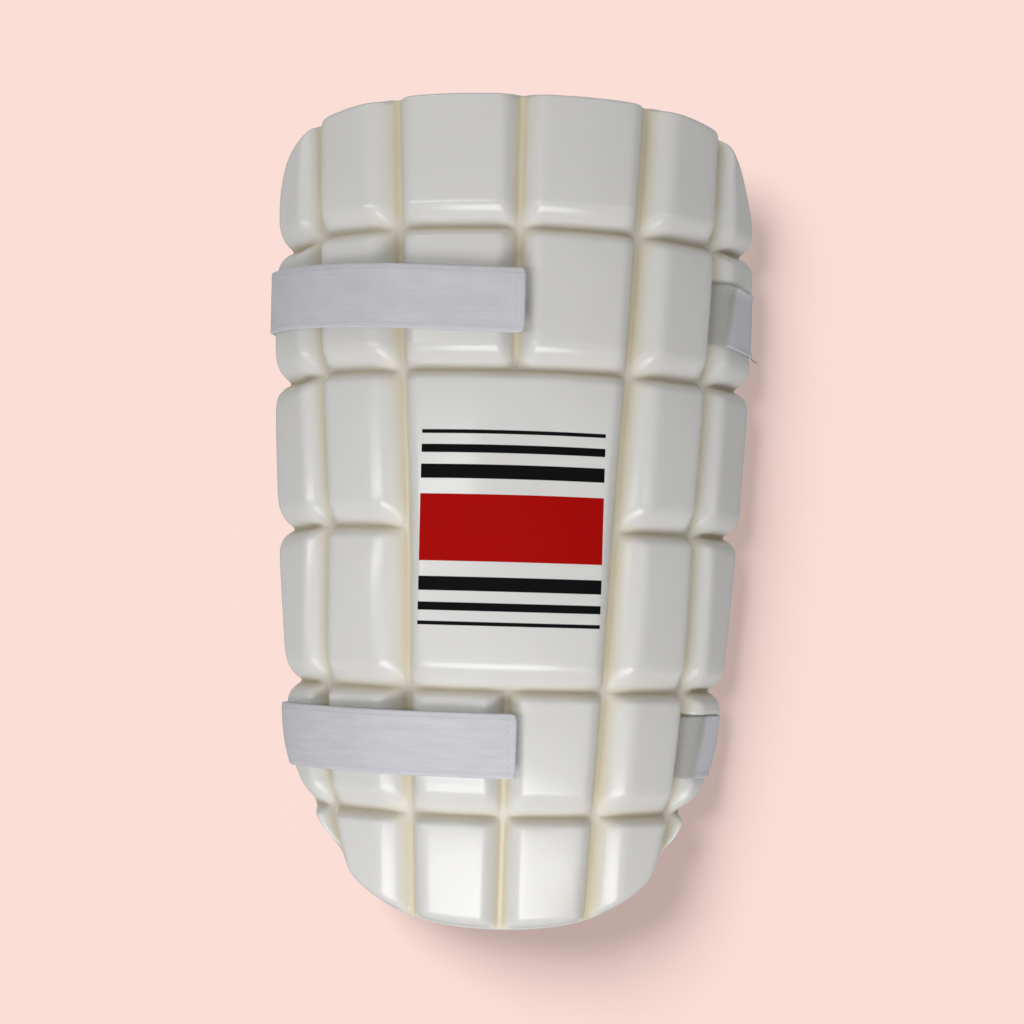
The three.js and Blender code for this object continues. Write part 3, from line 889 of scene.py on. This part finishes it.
ELASTIC_LIGHT = (0.62, 0.62, 0.655, 1)
ELASTIC_DARK = (0.465, 0.465, 0.50, 1)
# painted shade with some grime at the strap end by the anchor
ELASTIC_SHADE_AND_GRIME = (0.35, 0.345, 0.315, 1)
SELVEDGE = 2.1  # the selvedge line from a strap's edge
SELVEDGE_HALF = 0.4
WORN_EDGE = 1.1  # how far in the edges have paled
SHADED_END = 12  # length near the anchor painted darker as shade, with some grime
SHADED_SLANT = 0.12
SHADED_FADE = 3.2
LIGHTER_END = 45  # length there that is painted lighter
LIGHTER_FADE = 10.0
RIB_PITCH = 0.9
PICK_PITCH = 0.7


def elastic():
    """Woven elastic: faint streaks along the band and picks across it, a line inside each selvedge, and at
    the end where it leaves the groove painted shade with some grime, in a longer stretch painted lighter."""
    finish = Finish(bpy.data.materials.new("elastic"))
    along, over, length = finish.flat_place()
    streaks = finish.noise(finish.vector(along * 0.05, over * 0.9), 1.0, 3.0)
    fibres = finish.noise(finish.vector(along * 1.1, over * 1.5), 1.0)
    blotches = finish.noise(finish.vector(along * 0.07, over * 0.11, length), 1.0)
    ribs = 0.5 + 0.5 * finish.wave(over, RIB_PITCH)
    picks = 0.5 + 0.5 * finish.wave(along, PICK_PITCH)
    from_edge = STRAP_WIDTH / 2 - abs(over)
    line = (1 - abs(from_edge - SELVEDGE) / SELVEDGE_HALF).clamped()
    worn = (1 - from_edge / WORN_EDGE).clamped()
    # painted shade with some grime at the end by the anchor, and a longer stretch there painted lighter
    end_shade_and_grime = edge_mask(along - length + SHADED_END + over * SHADED_SLANT, SHADED_FADE)
    painted_lighter = edge_mask(along - length + LIGHTER_END, LIGHTER_FADE)
    shade = streaks * 0.55 + fibres * 0.4 + blotches * 0.7 + line * 0.35 - 0.45 - worn * 0.2 - painted_lighter * 0.5
    shade = shade.clamped()
    colour = finish.mix(shade, ELASTIC_LIGHT, ELASTIC_DARK)
    colour = finish.mix(end_shade_and_grime * 0.85, colour, ELASTIC_SHADE_AND_GRIME)
    height = ribs * 0.3 + picks * 0.3 + fibres * 0.6 + streaks * 0.5 - line * 1.2
    finish.set({
        "Base Color": colour,
        "Roughness": 0.78 + fibres * 0.12,
        "Normal": finish.bump(height, 0.3, 0.0002),
        "Sheen Weight": 0.15,
    })
    return finish.material


STITCH_COLOURS = ((0.80, 0.80, 0.82, 1), (0.62, 0.62, 0.65, 1))
LOOSE_COLOURS = ((0.26, 0.19, 0.18, 1), (0.20, 0.15, 0.14, 1))
TWIST_SCALE = 2600.0


def twisted_thread(name, colours):
    """Twisted polyester thread of two colours."""
    finish = Finish(bpy.data.materials.new(name))
    twist = finish.noise(finish.position(), TWIST_SCALE, 1.0)
    colour = finish.mix(twist, *colours)
    finish.set({"Base Color": colour, "Roughness": 0.5 + twist * 0.15})
    return finish.material


TAPE_DARK = (0.36, 0.36, 0.38, 1)
TAPE_LIGHT = (0.58, 0.58, 0.60, 1)
HOOK_PITCH = (1.6, 1.3)  # along and across the tape


def hook_tape():
    """Grey hook tape: close rows of stiff little hooks."""
    finish = Finish(bpy.data.materials.new("hook_tape"))
    along, over, _ = finish.flat_place()
    pile = 0.5 + 0.5 * finish.wave(along, HOOK_PITCH[0]) * finish.wave(over, HOOK_PITCH[1])
    finish.set({
        "Base Color": finish.mix(pile, TAPE_DARK, TAPE_LIGHT),
        "Roughness": 0.55 + pile * 0.15,
        "Normal": finish.bump(pile, 0.7, 0.0004),
    })
    return finish.material


# Pieces


def make_guard(finish):
    """The shell: a fine grid of blocks in front, a coarse back, and the half-round rim between them."""
    half_widths = np.diff(LINES[LINE_COUNT // 2, :, 0])
    widths = np.concatenate([half_widths[::-1], half_widths])
    columns = cell_lines(widths, 1 - COLUMN_COUNT, SIDE_GROOVE_HALF, INWARD_SHOULDER)
    lines = cell_lines(-np.diff(LINES[:, 0, 1]), 0, END_GROOVE_HALF, KNEE_SHOULDER)
    front = shell_grid(columns, lines)
    back = shell_grid(columns[::BACK_STRIDE], lines[::BACK_STRIDE])
    height = block_height(front)
    bead = rim_bead(columns, lines)

    points = [place(front, height).reshape(-1, 3)]
    flats = [np.dstack([front, crease_height(front)]).reshape(-1, 3)]
    for row, h in bead:
        points.append(place(row, h))
        flats.append(np.column_stack([row, np.full(len(row), BLOCK_HEIGHT)]))
    points.append(place(back, -web_thickness(back)).reshape(-1, 3))
    off_print = np.full_like(back, HALF_LENGTH)
    flats.append(np.dstack([off_print, np.full(back.shape[:2], CROWN)]).reshape(-1, 3))

    starts = np.cumsum([0] + [len(part) for part in points])
    front_index = np.arange(starts[1]).reshape(front.shape[:2])
    back_index = np.arange(starts[-2], starts[-1]).reshape(back.shape[:2])
    bead_index = np.arange(starts[1], starts[-2]).reshape(len(bead), -1)
    edge = np.vstack([border(front_index), bead_index])
    edge = np.column_stack([edge, edge[:, 0]])
    inner = border(back_index)
    inner = np.append(inner, inner[0])
    last = edge[-1]
    steps = [last[k : len(last) - BACK_STRIDE + k : BACK_STRIDE] for k in range(BACK_STRIDE)]
    fans = np.stack([inner[:-1], inner[1:], last[BACK_STRIDE::BACK_STRIDE], *steps[::-1]], axis=-1)
    faces = quads(front_index).tolist() + quads(edge[::-1]).tolist()
    faces += quads(back_index)[:, ::-1].tolist() + fans[:, ::-1].tolist()
    behind = np.zeros(starts[-1] - starts[1])
    values = {
        "flat_place": np.concatenate(flats),
        "shade_and_soil": np.append(crease_shade_and_soil(front), behind),
        "risen": np.append(groove_rise(front)[0], behind + 1),
    }
    guard = make_piece("moulded_guard", np.concatenate(points) + SET_DOWN, faces, finish, values)
    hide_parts("foam_guard")
    return guard


def make_strap(name, strap, finish, thread, loose_thread):
    """An elastic strap with its row of stitches, and on one strap a loose end of thread."""
    surface = strap_surface(strap)
    rings, flats = strap_rings(surface)
    faces = closed_loft(rings)
    values = {"flat_place": flats.reshape(-1, 3)}
    band = make_piece(f"{name}_elastic", rings.reshape(-1, 3), faces, finish, values)
    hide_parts(f"{name}_strap")
    sewn = [make_threads(f"{name}_stitches", *stitch_paths(surface), STITCH["radius"], thread)]
    if strap["loose"]:
        loose = loose_path(surface)
        sewn.append(make_threads(f"{name}_loose_thread", *loose, LOOSE_THREAD["radius"], loose_thread))


def make_hook_tape(name, strap, finish):
    """The hook tape under a tab end: a thin band on the crown of one block."""
    stations = np.linspace(HOOK_TAPE_SPAN[1], HOOK_TAPE_SPAN[0], TAPE_STATIONS)
    ring = band_ring(HOOK_TAPE_WIDTH, HOOK_TAPE_THICKNESS, TAPE_POINTS)
    s, over = np.meshgrid(stations, ring[:, 0], indexing="ij")
    flat = np.stack([s, strap["y"] + over], axis=-1)
    points = place(flat, CROWN + GAP + ring[:, 1]) + SET_DOWN
    values = {"flat_place": np.stack([s, over, s * 0], axis=-1).reshape(-1, 3)}
    tape = make_piece(f"{name}_tape", points.reshape(-1, 3), closed_loft(points), finish, values)
    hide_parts(f"{name}_hook_tape")


# Camera, floor and light
CAMERA_DISTANCE = 785.6  # from the front of the web at mid length
CAMERA_PITCH = -2.97  # degrees, as are the yaw and the roll
CAMERA_YAW = 1.25
CAMERA_ROLL = -1.54
CAMERA_ASIDE = 0.09  # what it is aimed at from the middle
LENS = 70.82
SENSOR_WIDTH = 36


def make_camera():
    """The camera looks down at the front of the guard, a little from the knee end."""
    data = bpy.data.cameras.new("camera")
    data.lens = LENS
    data.sensor_width = SENSOR_WIDTH
    camera = add_object("camera", data)
    turn = Matrix.Identity(3)
    for axis, degrees in (("Z", CAMERA_ROLL), ("X", CAMERA_PITCH), ("Y", CAMERA_YAW)):
        turn = turn @ Matrix.Rotation(math.radians(degrees), 3, axis)
    aim = Vector((CAMERA_ASIDE, 0, -FLOOR)) * MM
    back = Matrix.Translation((0, 0, CAMERA_DISTANCE * MM))
    camera.matrix_world = Matrix.Translation(aim) @ turn.transposed().to_4x4() @ back
    bpy.context.scene.camera = camera


FLOOR_PINK = (0.974, 0.738, 0.679, 1)
FLOOR_SHARES = (0.44, 0.46)  # shares of it that the paper gives back, between its fibres and on them
FLOOR_GLOW = 0.42  # share of its brightness that shadows leave alone, as on a lit backdrop
FLOOR_HALF = 6.0  # metres
FIBRE_SCALE = 900.0


def make_floor():
    """A wide plain floor of pale pink paper, lit partly from behind."""
    finish = Finish(bpy.data.materials.new("floor_paper"))
    fibre = finish.noise(finish.position(), FIBRE_SCALE)
    dark, light = ([share * part for part in FLOOR_PINK[:3]] + [1] for share in FLOOR_SHARES)
    finish.set({
        "Base Color": finish.mix(fibre, dark, light),
        "Roughness": 0.9,
        "Specular IOR Level": 0.0,
        "Emission Color": FLOOR_PINK,
        "Emission Strength": FLOOR_GLOW,
    })
    mesh = bpy.data.meshes.new("floor")
    corners = [(x * FLOOR_HALF, y * FLOOR_HALF, 0) for x, y in ((-1, -1), (1, -1), (1, 1), (-1, 1))]
    mesh.from_pydata(corners, [], [(0, 1, 2, 3)])
    mesh.materials.append(finish.material)
    floor = add_object("floor", mesh)
    floor.visible_diffuse = False
    floor.visible_glossy = False
    return floor


COOL = (0.995, 0.99, 1.0)
WARM = (1.0, 0.995, 0.985)
# Name, place, what it is aimed at, size across and along, watts, colour
SOFTBOXES = [
    ("knee_softbox", (-0.03, -0.66, 0.77), (0, -0.05, 0.05), (0.92, 0.45), 6.7, COOL),
    ("left_softbox", (-0.78, -0.10, 1.00), (0, -0.02, 0.05), (0.13, 1.1), 3.0, WARM),
    ("right_softbox", (0.80, -0.10, 0.95), (0, -0.02, 0.05), (0.13, 1.1), 0.7, WARM),
    ("hip_softbox", (-0.20, 1.00, 0.50), (0, 0, 0.05), (1.2, 0.6), 3.0, WARM),
]
FLOOR_LIGHT = {"from": (-0.72, 0.58, 0.95), "strength": 4.45, "spread": 0.55}
ROOM_COLOUR = (1.0, 0.995, 0.99, 1)
ROOM_LIGHT = 0.24
ROOM_BELOW = 0.48  # light that comes back from the floor
ROOM_TURN = 3  # how soon it takes over below the horizon


def make_lamp(data, where, aim, floor, lights_floor):
    """A lamp aimed at a point, that lights either the floor alone or all but the floor."""
    lamp = add_object(data.name, data)
    lamp.location = where
    lamp.rotation_euler = (Vector(aim) - Vector(where)).to_track_quat("-Z", "Y").to_euler()
    lit = bpy.data.collections.new(f"{data.name}_receivers")
    lit.objects.link(floor)
    lit.collection_objects[0].light_linking.link_state = "INCLUDE" if lights_floor else "EXCLUDE"
    lamp.light_linking.receiver_collection = lit


def make_lights(floor):
    """Softboxes for the guard, a lamp for its shadow on the floor, and an even room, brighter from below."""
    for name, where, aim, size, watts, colour in SOFTBOXES:
        data = bpy.data.lights.new(name, "AREA")
        data.shape = "RECTANGLE"
        data.size, data.size_y = size
        data.energy = watts
        data.color = colour
        make_lamp(data, where, aim, floor, False)
    data = bpy.data.lights.new("floor_lamp", "SUN")
    data.energy = FLOOR_LIGHT["strength"]
    data.angle = FLOOR_LIGHT["spread"]
    make_lamp(data, FLOOR_LIGHT["from"], (0, 0, 0), floor, True)
    world = bpy.data.worlds.new("room")
    room = Finish(world, "Background")
    _, _, up = room.split(room.node("TexCoord", {}, {}, "Generated"))
    below = (up * -ROOM_TURN).clamped()
    room.set({"Color": ROOM_COLOUR, "Strength": ROOM_LIGHT + (ROOM_BELOW - ROOM_LIGHT) * below})
    bpy.context.scene.world = world
    bpy.context.scene.view_settings.view_transform = "Standard"


make_camera()
guard = make_guard(foam_skin())
elastic_finish = elastic()
thread_finish = twisted_thread("stitch_thread", STITCH_COLOURS)
loose_finish = twisted_thread("loose_thread", LOOSE_COLOURS)
tape_finish = hook_tape()
for strap_name, strap_row in STRAPS.items():
    make_strap(strap_name, strap_row, elastic_finish, thread_finish, loose_finish)
    make_hook_tape(strap_name, strap_row, tape_finish)
make_lights(make_floor())
